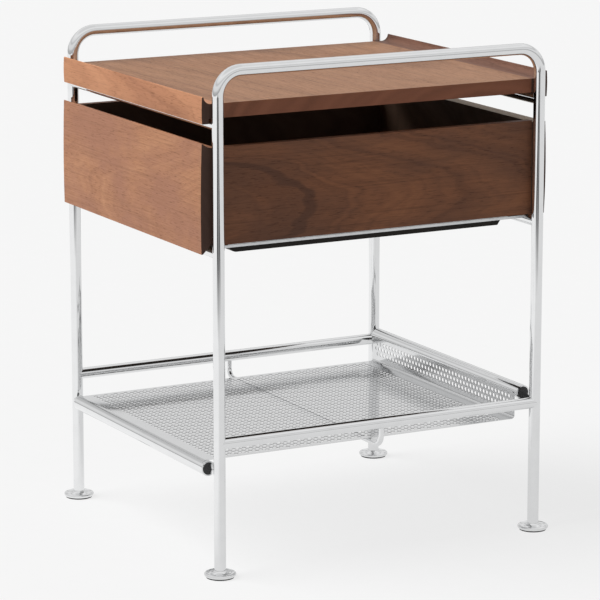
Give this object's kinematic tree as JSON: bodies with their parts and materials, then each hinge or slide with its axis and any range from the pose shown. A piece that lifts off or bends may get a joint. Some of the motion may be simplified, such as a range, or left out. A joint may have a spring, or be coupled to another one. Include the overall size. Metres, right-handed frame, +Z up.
{
  "type": "bedside cabinet",
  "caption": "Chromed tube bedside cabinet with a lipped walnut top, a walnut drawer on telescopic runners and a perforated steel shelf.",
  "frame": {"origin": "on the floor, under the middle of the cabinet", "axes": "X along the width; -Y out of the drawer's front; +Z up"},
  "size_m": [0.439, 0.47, 0.605],
  "materials": {
    "chrome_tube": "bright polished chrome plate over steel tube",
    "chrome_foot": "bright polished chrome, turned disc",
    "zinc_steel": "bright zinc-plated rolled steel",
    "screw_steel": "zinc-plated screw",
    "tray_steel": "perforated sheet steel, satin chrome plate",
    "walnut_top": "walnut, satin lacquer, grain along the width",
    "walnut_drawer": "walnut, satin lacquer",
    "drawer_lining": "dark stained plywood, matt",
    "beech_dowel": "fluted beech dowel, unfinished",
    "black_board": "black-brown stained board, satin",
    "black_plug": "black moulded plastic end plug",
    "nylon": "natural nylon glide block",
    "foot_pad": "thin black rubber pad"
  },
  "bodies": {
    "frame": {"side_frame_left": "chrome_tube", "shelf_side_rail_left": "chrome_tube", "shelf_stub_front_left": "chrome_tube", "shelf_stub_rear_left": "chrome_tube", "runner_rail_left": "zinc_steel", "runner_fixed_left": "zinc_steel", "side_frame_right": "chrome_tube", "shelf_side_rail_right": "chrome_tube", "shelf_stub_front_right": "chrome_tube", "shelf_stub_rear_right": "chrome_tube", "runner_rail_right": "zinc_steel", "runner_fixed_right": "zinc_steel", "top_cross_tube_front": "chrome_tube", "drawer_cross_tube_front": "chrome_tube", "shelf_front_tube": "chrome_tube", "top_lip_front": "walnut_top", "top_cross_tube_rear": "chrome_tube", "drawer_cross_tube_rear": "chrome_tube", "shelf_rear_tube": "chrome_tube", "top_lip_rear": "walnut_top", "foot_front_left": "chrome_foot", "foot_front_right": "chrome_foot", "foot_rear_left": "chrome_foot", "foot_rear_right": "chrome_foot", "foot_pads": "foot_pad", "top_board": "walnut_top", "top_board_screws": "screw_steel", "drawer_support_board": "black_board", "support_board_screws": "screw_steel", "shelf_tube_plugs": "black_plug", "shelf_support_rod": "chrome_tube", "shelf_tray": "tray_steel"},
    "drawer": {"drawer_front": "walnut_drawer", "drawer_back": "walnut_drawer", "drawer_side_left": "walnut_drawer", "drawer_side_right": "walnut_drawer", "drawer_bottom": "drawer_lining", "drawer_dowels": "beech_dowel", "runner_carriage_left": "zinc_steel", "runner_carriage_right": "zinc_steel", "runner_screws": "screw_steel"},
    "runner_middle_left": {"runner_middle_left": "zinc_steel", "runner_glides_left": "nylon"},
    "runner_middle_right": {"runner_middle_right": "zinc_steel", "runner_glides_right": "nylon"}
  },
  "joints": [
    {"name": "drawer_slide", "type": "slide", "parent": "frame", "child": "drawer", "axis": [0, -1, 0], "range_m": [0, 0.28]},
    {"name": "runner_left_slide", "type": "slide", "parent": "frame", "child": "runner_middle_left", "axis": [0, -1, 0], "range_m": [0, 0.14]},
    {"name": "runner_right_slide", "type": "slide", "parent": "frame", "child": "runner_middle_right", "axis": [0, -1, 0], "range_m": [0, 0.14]}
  ],
  "couplings": [
    {"joint": "runner_left_slide", "follows": "drawer_slide", "ratio": 0.5},
    {"joint": "runner_right_slide", "follows": "drawer_slide", "ratio": 0.5}
  ]
}
